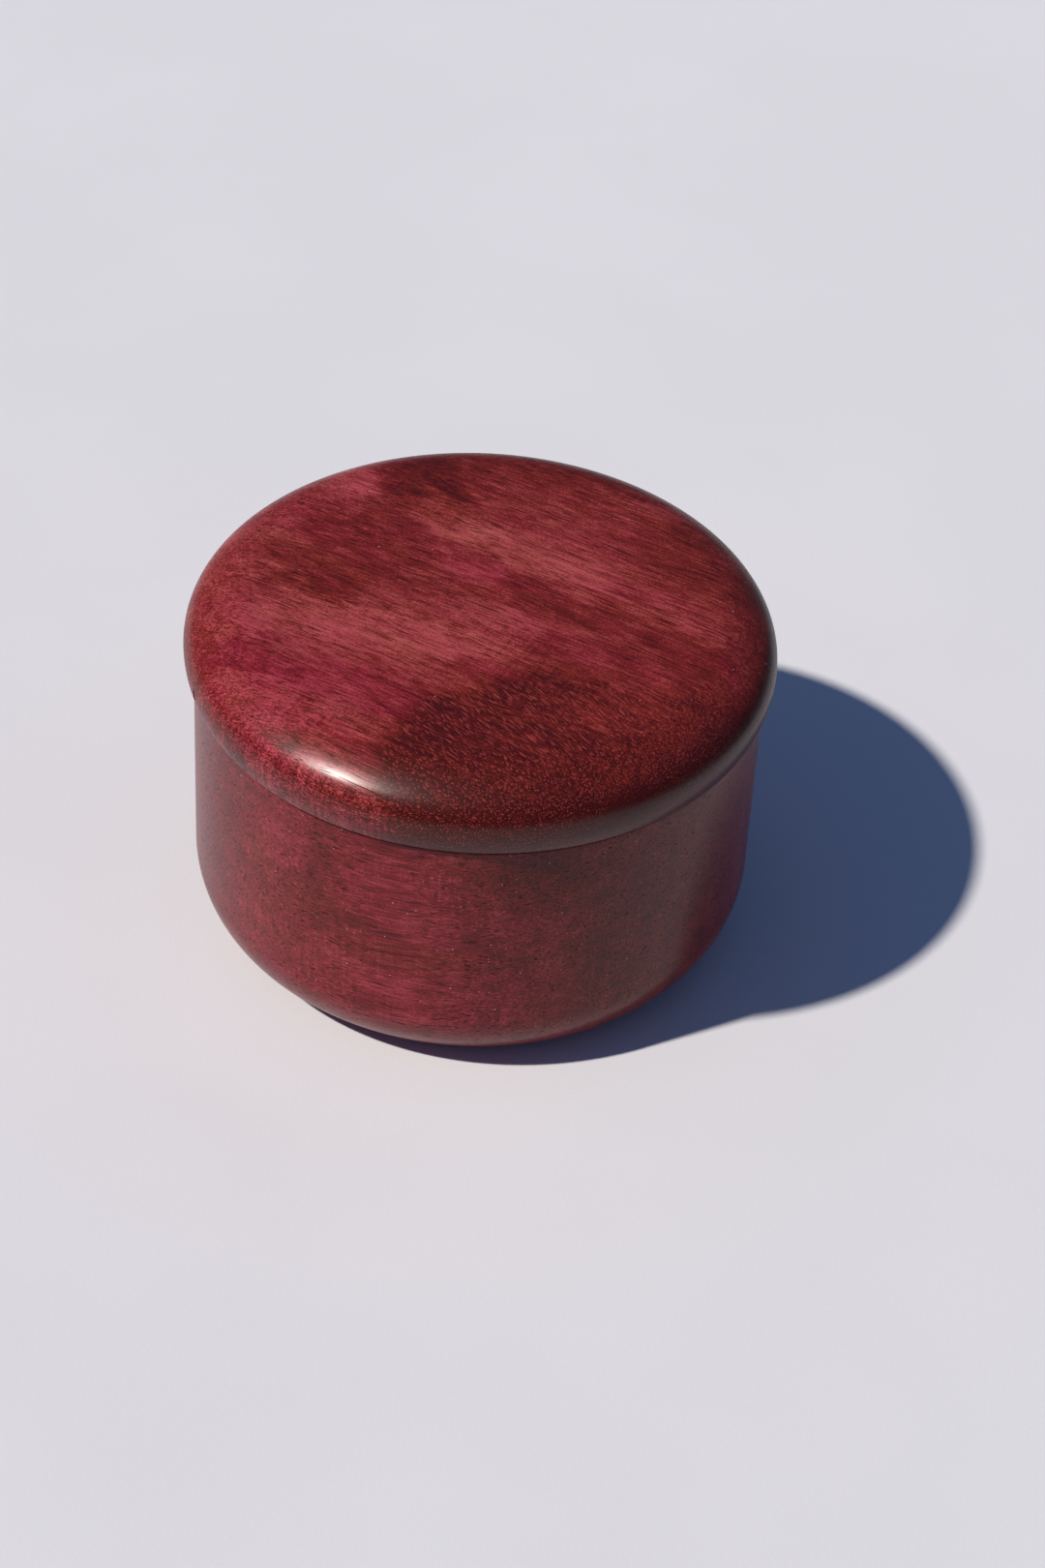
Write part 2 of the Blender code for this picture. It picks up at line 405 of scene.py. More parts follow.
class Nodes:
    """Adds nodes to one tree, in columns, and joins them as they are made."""

    def __init__(self, tree):
        self.tree = tree
        self.count = 0

    def join(self, value, socket):
        if isinstance(value, bpy.types.NodeSocket):
            self.tree.links.new(value, socket)
        else:
            socket.default_value = value

    def add(self, kind, inputs=None, **settings):
        node = self.tree.nodes.new(kind)
        column, row = divmod(self.count, NODES_PER_COLUMN)
        node.location = (column * NODE_STEP[0], -row * NODE_STEP[1])
        self.count += 1
        for setting, value in settings.items():
            setattr(node, setting, value)
        for socket, value in (inputs or {}).items():
            self.join(value, node.inputs[socket])
        return node

    def group(self, tree, inputs):
        return self.add("ShaderNodeGroup", inputs, node_tree=tree).outputs

    def math(self, operation, *values):
        return self.add("ShaderNodeMath", dict(enumerate(values)), operation=operation).outputs[0]

    def vector(self, operation, *values):
        inputs = dict(enumerate(values))
        return self.add("ShaderNodeVectorMath", inputs, operation=operation).outputs[0]

    def measure(self, operation, *values):
        """A vector operation whose result is a number."""
        inputs = dict(enumerate(values))
        return self.add("ShaderNodeVectorMath", inputs, operation=operation).outputs["Value"]

    def turned(self, vector, axis, turn):
        """The vector seen from a frame that is turned about one axis."""
        inputs = {"Vector": vector, "Angle": turn}
        node = self.add("ShaderNodeVectorRotate", inputs, rotation_type=axis, invert=True)
        return node.outputs[0]

    def combined(self, x, y, z):
        return self.add("ShaderNodeCombineXYZ", {0: x, 1: y, 2: z}).outputs[0]

    def ramp(self, value, low, high, to_low=0.0, to_high=1.0):
        """A smooth change from to_low at low to to_high at high, and no further."""
        inputs = {0: value, 1: low, 2: high, 3: to_low, 4: to_high}
        node = self.add("ShaderNodeMapRange", inputs, interpolation_type="SMOOTHSTEP")
        return node.outputs[0]

    def mix(self, share, first, second):
        node = self.add("ShaderNodeMix", {0: share, 6: first, 7: second}, data_type="RGBA")
        return node.outputs[2]

    def weighted_sum(self, start, *terms):
        """The start plus each value times its weight."""
        total = start
        for value, weight in terms:
            total = self.math("MULTIPLY_ADD", value, weight, total)
        return total


SOCKETS = {1: "NodeSocketFloat", 3: "NodeSocketVector", 4: "NodeSocketColor"}


def new_group(name, inputs, outputs):
    """A node group with its sockets: its tree, its nodes, what is given and where results go.
    A default of one, three or four numbers makes a number, a vector or a colour."""
    tree = bpy.data.node_groups.new(name, "ShaderNodeTree")
    for socket, default in inputs.items():
        size = 1 if isinstance(default, float) else len(default)
        made = tree.interface.new_socket(socket, in_out="INPUT", socket_type=SOCKETS[size])
        made.default_value = default
    for socket, size in outputs.items():
        tree.interface.new_socket(socket, in_out="OUTPUT", socket_type=SOCKETS[size])
    nodes = Nodes(tree)
    given = nodes.add("NodeGroupInput").outputs
    results = nodes.add("NodeGroupOutput").inputs
    return tree, nodes, given, results


ORIGIN = (0.0, 0.0, 0.0)

# Noise cells per millimetre, along and across the grain, and how far they move what they bend
SLOW_CELLS = (0.022, 0.07, 0.07)
QUICK_CELLS = (0.12, 0.42, 0.42)
RAGGED_REACH = (12.0, 12.0, 6.0)
FIRM_REACH = (5.0, 5.0, 3.0)
VESSEL_WANDER = (3.0, 3.0, 3.0)

# Vessels wander from one of these to the next, in spacings. They differ in width and in strength
# between two shares.
WANDER_SPACINGS = 4.0
VESSEL_WIDTHS = (0.50, 1.35)
VESSEL_STRENGTHS = (0.60, 1.0)

# The share of a mark's radius inside which it doesn't fade
SOLID_CORE = 0.5

# Streaks spread the middle values of their noise this much.
STREAK_CONTRAST = 4.0

# The tone of the middle one of a wood's three colours
MIDDLE_TONE = 0.45

# Cosines between which a surface comes to face along the grain
FACES_ALONG = (0.42, 0.85)

# The share of places where no dust lies
DUSTLESS = 0.35

# Turning rings are uneven: noise cells per millimetre, and how far they shift a ring in millimetres
RING_CELLS = 0.8
RING_SHIFT = 2.0


@cache
def grain_space():
    """A position in millimetres along and across the grain, which sways and dips a little."""
    inputs = {"Position": ORIGIN, "Heading": 0.0, "Dip": 0.0, "Sway": 1.0}
    outputs = {"Grain": 3, "Ragged place": 3, "Firm place": 3}
    tree, nodes, given, results = new_group("Grain space", inputs, outputs)
    place = nodes.vector("MULTIPLY", given["Position"], (1000.0, 1000.0, 1000.0))
    level = nodes.turned(place, "Z_AXIS", given["Heading"])
    grain = nodes.turned(level, "Y_AXIS", given["Dip"])

    slow = nodes.vector("MULTIPLY", grain, SLOW_CELLS)
    drift = nodes.add("ShaderNodeTexNoise", {"Vector": slow, "Scale": 1.0, "Detail": 1.0})
    drift = nodes.vector("SUBTRACT", drift.outputs["Color"], (0.5, 0.5, 0.5))
    reach = nodes.combined(0.0, given["Sway"], given["Sway"])
    nodes.join(nodes.vector("MULTIPLY_ADD", drift, reach, grain), results["Grain"])

    # Patches of figure have ragged edges that are drawn out along the grain, or firmer ones.
    quick = nodes.vector("MULTIPLY", grain, QUICK_CELLS)
    fray = nodes.add("ShaderNodeTexNoise", {"Vector": quick, "Scale": 1.0, "Detail": 4.0})
    fray = nodes.vector("SUBTRACT", fray.outputs["Color"], (0.5, 0.5, 0.5))
    for kind, reach in (("Ragged place", RAGGED_REACH), ("Firm place", FIRM_REACH)):
        nodes.join(nodes.vector("MULTIPLY_ADD", fray, reach, place), results[kind])
    return tree


@cache
def wood_streaks():
    """Light and dark streaks, from -1 to 1, with their length and width in millimetres."""
    inputs = {"Grain": ORIGIN, "Length": 10.0, "Width": 1.0, "Seed": 0.0, "Detail": 2.0}
    tree, nodes, given, results = new_group("Wood streaks", inputs, {"Value": 1})
    size = nodes.combined(given["Length"], given["Width"], given["Width"])
    cells = nodes.vector("DIVIDE", given["Grain"], size)
    cells = nodes.vector("ADD", cells, given["Seed"])
    texture = nodes.add(
        "ShaderNodeTexNoise", {"Vector": cells, "Scale": 1.0, "Detail": given["Detail"]}
    )
    spread = (STREAK_CONTRAST, -0.5 * STREAK_CONTRAST)
    value = nodes.math("MULTIPLY_ADD", texture.outputs[0], *spread)
    value = nodes.math("MAXIMUM", nodes.math("MINIMUM", value, 1.0), -1.0)
    nodes.join(value, results["Value"])
    return tree


@cache
def wood_vessels():
    """Open vessels: fine tubes that wander along the grain, so that a cut along them shows dashes
    and a cut across them shows dots. Each has a width and a strength of its own."""
    inputs = {"Grain": ORIGIN, "Spacing": 0.5, "Width": 0.18, "Reach": 9.0, "Seed": 0.0}
    tree, nodes, given, results = new_group("Wood vessels", inputs, {"Mask": 1})
    across = nodes.math("MULTIPLY", given["Spacing"], WANDER_SPACINGS)
    cells = nodes.vector("DIVIDE", given["Grain"], nodes.combined(given["Reach"], across, across))
    cells = nodes.vector("ADD", cells, given["Seed"])
    wander = nodes.add("ShaderNodeTexNoise", {"Vector": cells, "Scale": 1.0, "Detail": 1.0})
    wander = nodes.vector("MULTIPLY", wander.outputs["Color"], VESSEL_WANDER)
    spacing = nodes.combined(given["Spacing"], given["Spacing"], given["Spacing"])
    tubes = nodes.vector("DIVIDE", given["Grain"], spacing)
    tubes = nodes.add("ShaderNodeSeparateXYZ", {0: nodes.vector("ADD", tubes, wander)}).outputs
    inputs = {"Vector": nodes.combined(tubes[1], tubes[2], 0.0), "Scale": 1.0}
    texture = nodes.add("ShaderNodeTexVoronoi", inputs, voronoi_dimensions="2D").outputs
    own = nodes.add("ShaderNodeSeparateXYZ", {0: texture["Color"]}).outputs
    half = nodes.math("DIVIDE", given["Width"], nodes.math("MULTIPLY", given["Spacing"], 2.0))
    half = nodes.math("MULTIPLY", half, nodes.ramp(own[0], 0.0, 1.0, *VESSEL_WIDTHS))
    inner = nodes.math("MULTIPLY", half, SOLID_CORE)
    mask = nodes.ramp(texture["Distance"], inner, half, 1.0, 0.0)
    mask = nodes.math("MULTIPLY", mask, nodes.ramp(own[1], 0.0, 1.0, *VESSEL_STRENGTHS))
    nodes.join(mask, results["Mask"])
    return tree


@cache
def figure_patch():
    """One patch of figure, added to the tone, the magenta and the diving grain so far."""
    inputs = {
        "Place": ORIGIN,
        "Tone": 0.0,
        "Magenta": 0.0,
        "Diving": 0.0,
        "Centre": ORIGIN,
        "Half size": (1.0, 1.0, 1.0),
        "Heading": 0.0,
        "Edge": 0.5,
        "Lighter": 0.0,
        "Redder": 0.0,
        "Dives": 0.0,
    }
    outputs = {"Tone": 1, "Magenta": 1, "Diving": 1}
    tree, nodes, given, results = new_group("Figure patch", inputs, outputs)
    offset = nodes.vector("SUBTRACT", given["Place"], given["Centre"])
    offset = nodes.turned(offset, "Z_AXIS", given["Heading"])
    offset = nodes.vector("DIVIDE", offset, given["Half size"])
    start = nodes.math("SUBTRACT", 1.0, given["Edge"])
    end = nodes.math("ADD", 1.0, given["Edge"])
    mask = nodes.ramp(nodes.measure("LENGTH", offset), start, end, 1.0, 0.0)
    for total, amount in (("Tone", "Lighter"), ("Magenta", "Redder")):
        nodes.join(nodes.weighted_sum(given[total], (mask, given[amount])), results[total])
    dive = nodes.math("MULTIPLY", mask, given["Dives"])
    nodes.join(nodes.math("MAXIMUM", given["Diving"], dive), results["Diving"])
    return tree


@cache
def heartwood_colour():
    """Colour of the timber from its tone, dark to light, and its share of magenta."""
    black = (0.0, 0.0, 0.0, 1.0)
    inputs = {"Tone": 0.5, "Magenta": 0.5}
    for hue in ("Brown", "Magenta"):
        for tone in ("dark", "middle", "light"):
            inputs[f"{hue}, {tone}"] = black
    tree, nodes, given, results = new_group("Heartwood colour", inputs, {"Color": 4})
    low = nodes.add("ShaderNodeMapRange", {0: given["Tone"], 1: 0.0, 2: MIDDLE_TONE}).outputs[0]
    high = nodes.add("ShaderNodeMapRange", {0: given["Tone"], 1: MIDDLE_TONE, 2: 1.0}).outputs[0]
    shades = []
    for hue in ("Brown", "Magenta"):
        shade = nodes.mix(low, given[f"{hue}, dark"], given[f"{hue}, middle"])
        shades.append(nodes.mix(high, shade, given[f"{hue}, light"]))
    nodes.join(nodes.mix(given["Magenta"], *shades), results["Color"])
    return tree


@cache
def end_grain():
    """Whether a surface faces along the grain, at its near or its far end, and how far it faces
    sideways across the grain, all from 0 to 1."""
    inputs = {"Normal": ORIGIN, "Heading": 0.0}
    outputs = {"Near end": 1, "Far end": 1, "Side": 1}
    tree, nodes, given, results = new_group("End grain", inputs, outputs)
    facing = nodes.turned(given["Normal"], "Z_AXIS", given["Heading"])
    ahead, aside, _ = nodes.add("ShaderNodeSeparateXYZ", {0: facing}).outputs
    for end, sign in (("Near end", 1.0), ("Far end", -1.0)):
        facing = nodes.math("MULTIPLY", ahead, sign)
        nodes.join(nodes.ramp(facing, *FACES_ALONG), results[end])
    nodes.join(nodes.math("MULTIPLY", aside, aside), results["Side"])
    return tree


@cache
def settled_dust():
    """Small scattered specks. Spacing and size are in millimetres."""
    inputs = {"Position": ORIGIN, "Spacing": 2.0, "Size": 0.16}
    tree, nodes, given, results = new_group("Settled dust", inputs, {"Mask": 1})
    per_cell = nodes.math("DIVIDE", 1000.0, given["Spacing"])
    inputs = {"Vector": given["Position"], "Scale": per_cell}
    texture = nodes.add("ShaderNodeTexVoronoi", inputs).outputs
    own = nodes.add("ShaderNodeSeparateXYZ", {0: texture["Color"]}).outputs
    radius = nodes.math("DIVIDE", given["Size"], given["Spacing"])
    radius = nodes.math("MULTIPLY", radius, nodes.ramp(own[0], DUSTLESS, 1.0))
    inner = nodes.math("MULTIPLY", radius, SOLID_CORE)
    nodes.join(nodes.ramp(texture["Distance"], inner, radius, 1.0, 0.0), results["Mask"])
    return tree


@cache
def tool_rings():
    """Height of the fine rings that a turning tool leaves, in millimetres."""
    inputs = {"Position": ORIGIN, "Spacing": 0.7, "Depth": 0.004}
    tree, nodes, given, results = new_group("Tool rings", inputs, {"Height": 1})
    place = nodes.vector("MULTIPLY", given["Position"], (1000.0, 1000.0, 1000.0))
    radius = nodes.measure("LENGTH", nodes.vector("MULTIPLY", place, (1.0, 1.0, 0.0)))
    height = nodes.add("ShaderNodeSeparateXYZ", {0: place}).outputs[2]
    travel = nodes.math("ADD", radius, height)
    inputs = {"W": travel, "Scale": RING_CELLS, "Detail": 1.0}
    uneven = nodes.add("ShaderNodeTexNoise", inputs, noise_dimensions="1D")
    travel = nodes.math("MULTIPLY_ADD", uneven.outputs[0], RING_SHIFT, travel)
    phase = nodes.math("MULTIPLY", nodes.math("DIVIDE", travel, given["Spacing"]), math.tau)
    wave = nodes.math("SINE", phase)
    nodes.join(nodes.math("MULTIPLY", wave, given["Depth"]), results["Height"])
    return tree


# Timber. Places and sizes are in millimetres, headings in degrees.

# A kind of streak: its length, width, seed and finer octaves of noise, and what it adds to the
# tone, to the share of magenta and to the height
Streaks = namedtuple(
    "Streaks", "length width seed detail tone magenta height", defaults=(2.0, 0.0, 0.0, 0.0)
)

STREAKS = {
    "bands": Streaks(16.0, 6.0, 0.0, tone=0.08),
    "mottle": Streaks(4.5, 2.6, 3.0, 3.0, tone=0.10),
    "ribbons": Streaks(9.0, 1.4, 7.0, tone=0.10),
    "fibres": Streaks(8.0, 0.38, 13.0, tone=0.15, height=0.021),
    "hairs": Streaks(4.5, 0.19, 17.0, 1.0, tone=0.17, height=0.013),
    "speckle": Streaks(0.42, 0.28, 19.0, 1.0, tone=0.20, height=0.006),
    "hues": Streaks(14.0, 4.0, 23.0, magenta=0.25),
    "ripple": Streaks(0.6, 7.0, 29.0, 0.0, tone=0.10, height=0.006),
    "ripple_zones": Streaks(20.0, 10.0, 31.0),
    "lines": Streaks(7.0, 0.30, 37.0, 1.0, tone=-0.32),
    "threads": Streaks(5.0, 0.38, 41.0, magenta=0.20),
    "freckles": Streaks(0.55, 0.34, 43.0, 1.0, magenta=0.20),
    "drifts": Streaks(10.0, 3.0, 47.0),
}

# A mark in the wood: how much of its colour covers the wood, how much rougher it is, the share of
# the oil film that it breaks, and its height
Mark = namedtuple("Mark", "cover roughness oil_lost height", defaults=(0.0, 0.0))

VESSELS = Mark(0.88, 0.20, 0.85, -0.020)
FLECKS = Mark(0.62, 0.06)
DUST = Mark(0.80, 0.30, 0.80)

# Flecks run across the grain at a slant, where it dives.
FLECK_TURN = math.radians(-21)
FLECK_DIP = math.radians(-7)
FLECK_SPACING = 0.38
FLECK_WIDTH = 0.22
FLECK_SEED = 5.0

# Where the grain dives, and at its near end, the wood is browner. Ribbons shine less.
DIVING_TONE = -0.38
DIVING_MAGENTA = -0.34
NEAR_END_MAGENTA = -0.30
RIBBON_ROUGHNESS = 0.02

# Values between which something shows: streaks as ripple or as lines, end_grain's Side as a
# surface that faces sideways, and diving grain as flecks
RIPPLE_SHOWS = (0.1, 0.7)
LINES_SHOW = (0.25, 0.70)
FACES_SIDEWAYS = (0.1, 0.7)
FLECKS_SHOW = (0.2, 0.8)

# Vessels come and go with the drifts, and fade where the grain dives: two values, and the share
# of the vessels at each.
VESSELS_IN_DRIFTS = (-0.5, 0.4, 0.50, 1.0)
VESSELS_IN_DIVING = (0.0, 0.6, 1.0, 0.15)

# A patch of figure adds to the tone and to the share of magenta. A plan says what one piece's
# timber is like, and what its ends and sides add. What the ends add is partly painted shade and
# sheen, on the rim's sides away from and towards the key light.
Patch = namedtuple(
    "Patch", "centre half_size heading lighter redder edge dives", defaults=(0.40, 0.0)
)
TimberPlan = namedtuple(
    "TimberPlan",
    "tone magenta near_end far_end side side_speckle side_ripple dip sway seed vessel_spacing "
    "vessel_width dust_spacing oil oil_ior patches",
)

# Half the height of a patch that runs right through the piece
DEEP = 60.0

LID_TIMBER = TimberPlan(
    tone=0.53,
    magenta=0.30,
    # painted shade: darkens the rim on its side away from the key light, besides its near end grain
    near_end=-0.46,
    # painted sheen: lightens the rim a little on its side towards the key light, besides its far
    # end grain
    far_end=0.05,
    side=-0.46,
    side_speckle=2.6,
    side_ripple=1.9,
    dip=math.radians(3.0),
    sway=2.5,
    seed=3.0,
    vessel_spacing=0.46,
    vessel_width=0.22,
    dust_spacing=3.0,
    oil=0.44,
    oil_ior=1.6,
    patches=[
        Patch((-7, 23, 58), (9, 5.5, DEEP), -35, 0.37, -0.20),
        Patch((9, 12, 58), (15, 3.5, DEEP), -33, 0.18, -0.12),
        Patch((13, 16, 58), (9, 4, DEEP), -35, 0.10, 0.05),
        Patch((14, 29, 58), (12, 4, DEEP), -33, 0.10, -0.10),
        Patch((28, 14, 58), (15, 4, DEEP), -25, 0.00, 0.15),
        Patch((-25, 33, 58), (6, 5, DEEP), -35, 0.18, 0.00),
        Patch((-19, 36, 58), (7, 5, DEEP), -20, 0.18, 0.30),
        Patch((-42, 4, 58), (20, 6, DEEP), -80, 0.17, 0.15),
        Patch((-37, 23, 58), (6, 5, DEEP), -60, 0.08, 0.20),
        Patch((-16, -9, 58), (20, 5, DEEP), -17, 0.29, -0.05),
        Patch((-31, -11, 58), (11, 5, DEEP), -20, 0.12, 0.05),
        Patch((-17, -16, 58), (11, 5, DEEP), -25, 0.09, 0.10),
        Patch((0, -5, 58), (9, 4.5, DEEP), -25, 0.15, 0.00),
        Patch((-14, -0.5, 58), (5, 2.5, DEEP), -22, 0.12, 0.05),
        Patch((-29, -27, 58), (17, 10, DEEP), -20, 0.15, 0.14),
        Patch((-20, -24, 58), (26, 4.5, DEEP), -22, -0.08, 0.35),
        Patch((0, 8, 58), (14, 3.2, DEEP), -24, 0.12, 0.38),
        Patch((21, 8, 58), (11, 4.5, DEEP), -33, 0.09, 0.15),
        Patch((33, -1, 58), (8, 4.5, DEEP), -33, 0.10, 0.15),
        Patch((31, -3, 58), (9, 3.5, DEEP), -33, 0.08, -0.10),
        Patch((26, -18, 58), (12, 4.5, DEEP), -25, 0.06, 0.15),
        Patch((-11, 31, 58), (12, 7, DEEP), -60, -0.38, -0.20),
        Patch((-19, 20, 58), (6, 4.5, DEEP), -35, -0.14, 0.10),
        Patch((-26, 17, 58), (10, 4.5, DEEP), -35, -0.10, 0.05),
        Patch((-30, 5, 58), (16, 7.5, DEEP), -12, -0.11, -0.15, 0.60),
        Patch((-11, 12, 58), (5, 4, DEEP), -30, -0.12, -0.05),
        Patch((7, 3.5, 58), (5, 4, DEEP), -33, -0.20, -0.28),
        Patch((16, -2, 58), (5, 3, DEEP), -33, -0.18, -0.05),
        Patch((26, 0, 58), (6, 4, DEEP), -45, -0.17, -0.10),
        Patch((20, 24, 58), (9, 3.5, DEEP), -33, -0.10, 0.10),
        Patch((12, 32, 58), (9, 3.5, DEEP), -20, -0.10, -0.10),
        Patch((34, -11, 58), (9, 4.5, DEEP), -35, -0.20, 0.05),
        Patch((-38, -17, 58), (6, 4, DEEP), -40, -0.10, 0.20),
        Patch((5, 41, 58), (21, 6, DEEP), -10, -0.17, -0.25),
        Patch((38, 16, 58), (11, 12, DEEP), -30, -0.16, -0.42),
        Patch((9, -17, 58), (7, 4.5, DEEP), 30, -0.12, 0.00),
        Patch((4, -40, 56), (18.5, 18, DEEP), 30, 0.00, 0.00, 0.10, 1.0),
        Patch((15, -32, 56), (20, 14, DEEP), 15, 0.00, 0.00, 0.35, 0.85),
        Patch((22, -28, 58), (8, 6, DEEP), -30, 0.12, 0.10),
        Patch((33, -30, 56), (14, 9, DEEP), 45, -0.04, -0.05, 0.35, 0.70),
        Patch((-40, -26, 56), (19, 7, DEEP), -57, 0.06, 0.15),
        Patch((-25, -45, 55), (18, 5.5, DEEP), -29, 0.34, 0.20),
        # painted shade: darkens the lid's right rim, which faces away from the key light
        Patch((48, 4, 57), (15, 5, DEEP), 90, -0.16, -0.10),
        Patch((-29, -35.5, 58), (3.5, 1.2, DEEP), -15, -0.24, -0.10, 0.60),
    ],
)

BOWL_TIMBER = TimberPlan(
    tone=0.41,
    magenta=0.58,
    # painted light: lightens the wall a little on its side away from the key light, besides its
    # near end grain
    near_end=0.03,
    # darkens the wall a little on its side towards the key light
    far_end=-0.05,
    side=0.0,
    side_speckle=0.9,
    side_ripple=0.0,
    dip=math.radians(-1.0),
    sway=2.0,
    seed=11.0,
    vessel_spacing=0.76,
    vessel_width=0.31,
    dust_spacing=1.25,
    oil=0.71,
    oil_ior=1.34,
    patches=[
        Patch((-30, -37, 44), (5, 8, 8), -14, 0.12, 0.35),
        Patch((-16, -45, 42), (7, 8, 9), -14, 0.10, 0.30),
        Patch((-7, -48, 38), (7, 8, 10), -14, 0.12, 0.30),
        Patch((-23, -42, 39), (5, 8, 11), -14, -0.11, 0.02),
        Patch((12, -47, 46), (11, 8, 8), -14, -0.15, -0.20),
        Patch((-4, -48, 17), (17, 9, 7), -14, 0.10, 0.25),
        # painted shade: darkens the right-front of the wall, away from the key light and under the
        # lid, and makes it browner
        Patch((34, -34, 30), (16, 16, 30), -14, -0.11, -0.35),
        Patch((-44, -20, 30), (10, 10, 25), -14, -0.05, 0.10),
        Patch((-28, -36, 16), (26, 16, 12), -14, 0.04, 0.16),
    ],
)


def streak_values(nodes, plan, grain, side):
    """The value of each kind of streak. On the sides of the grain, speckle and ripple change."""
    values = {}
    for kind, streak in STREAKS.items():
        inputs = {
            "Grain": grain,
            "Length": streak.length,
            "Width": streak.width,
            "Seed": plan.seed + streak.seed,
            "Detail": streak.detail,
        }
        values[kind] = nodes.group(wood_streaks(), inputs)["Value"]

    zones = nodes.ramp(values.pop("ripple_zones"), *RIPPLE_SHOWS)
    zones = nodes.math("MAXIMUM", zones, nodes.ramp(side, *FACES_SIDEWAYS, 0.0, plan.side_ripple))
    values["ripple"] = nodes.math("MULTIPLY", values["ripple"], zones)
    speckled = nodes.ramp(side, *FACES_SIDEWAYS, 1.0, plan.side_speckle)
    values["speckle"] = nodes.math("MULTIPLY", values["speckle"], speckled)
    values["lines"] = nodes.ramp(values["lines"], *LINES_SHOW)
    return values


def shares(values, effect):
    """The values of the streaks that add to one effect, each with its weight."""
    weights = {kind: getattr(STREAKS[kind], effect) for kind in values}
    return [(values[kind], weight) for kind, weight in weights.items() if weight]


def figure(nodes, plan, spaces, streaks, ends):
    """Tone and share of magenta of the timber, and how far its grain dives into the surface."""
    tone = nodes.weighted_sum(
        plan.tone,
        *shares(streaks, "tone"),
        (ends["Near end"], plan.near_end),
        (ends["Far end"], plan.far_end),
        (ends["Side"], plan.side),
    )
    magenta = nodes.weighted_sum(
        plan.magenta, *shares(streaks, "magenta"), (ends["Near end"], NEAR_END_MAGENTA)
    )
    diving = 0.0
    for patch in plan.patches:
        inputs = {
            "Place": spaces["Firm place" if patch.dives else "Ragged place"],
            "Tone": tone,
            "Magenta": magenta,
            "Diving": diving,
            "Centre": patch.centre,
            "Half size": patch.half_size,
            "Heading": math.radians(patch.heading),
            "Edge": patch.edge,
            "Lighter": patch.lighter,
            "Redder": patch.redder,
            "Dives": patch.dives,
        }
        sums = nodes.group(figure_patch(), inputs)
        tone, magenta, diving = sums["Tone"], sums["Magenta"], sums["Diving"]
    tone = nodes.weighted_sum(tone, (diving, DIVING_TONE))
    magenta = nodes.weighted_sum(magenta, (diving, DIVING_MAGENTA))
    return tone, nodes.ramp(magenta, 0.0, 1.0), diving


def bare_wood(nodes, look, tone, magenta):
    """Colour of the timber before anything marks it."""
    inputs = {
        "Tone": tone,
        "Magenta": magenta,
        "Brown, dark": (*look.brown_dark, 1.0),
        "Brown, middle": (*look.brown_mid, 1.0),
        "Brown, light": (*look.brown_light, 1.0),
        "Magenta, dark": (*look.magenta_dark, 1.0),
        "Magenta, middle": (*look.magenta_mid, 1.0),
        "Magenta, light": (*look.magenta_light, 1.0),
    }
    return nodes.group(heartwood_colour(), inputs)["Color"]


def vessel_mask(nodes, plan, grain, drifts, diving):
    """Open vessels, which come and go, and are few where the grain dives into the surface."""
    inputs = {
        "Grain": grain,
        "Spacing": plan.vessel_spacing,
        "Width": plan.vessel_width,
        "Seed": plan.seed,
    }
    mask = nodes.group(wood_vessels(), inputs)["Mask"]
    mask = nodes.math("MULTIPLY", mask, nodes.ramp(drifts, *VESSELS_IN_DRIFTS))
    return nodes.math("MULTIPLY", mask, nodes.ramp(diving, *VESSELS_IN_DIVING))


def fleck_mask(nodes, plan, position, heading, diving):
    """Pale flecks where the grain dives into the surface."""
    inputs = {"Position": position, "Heading": heading + FLECK_TURN, "Dip": FLECK_DIP, "Sway": 1.0}
    inputs = {
        "Grain": nodes.group(grain_space(), inputs)["Grain"],
        "Spacing": FLECK_SPACING,
        "Width": FLECK_WIDTH,
        "Seed": plan.seed + FLECK_SEED,
    }
    mask = nodes.group(wood_vessels(), inputs)["Mask"]
    return nodes.math("MULTIPLY", mask, nodes.ramp(diving, *FLECKS_SHOW))


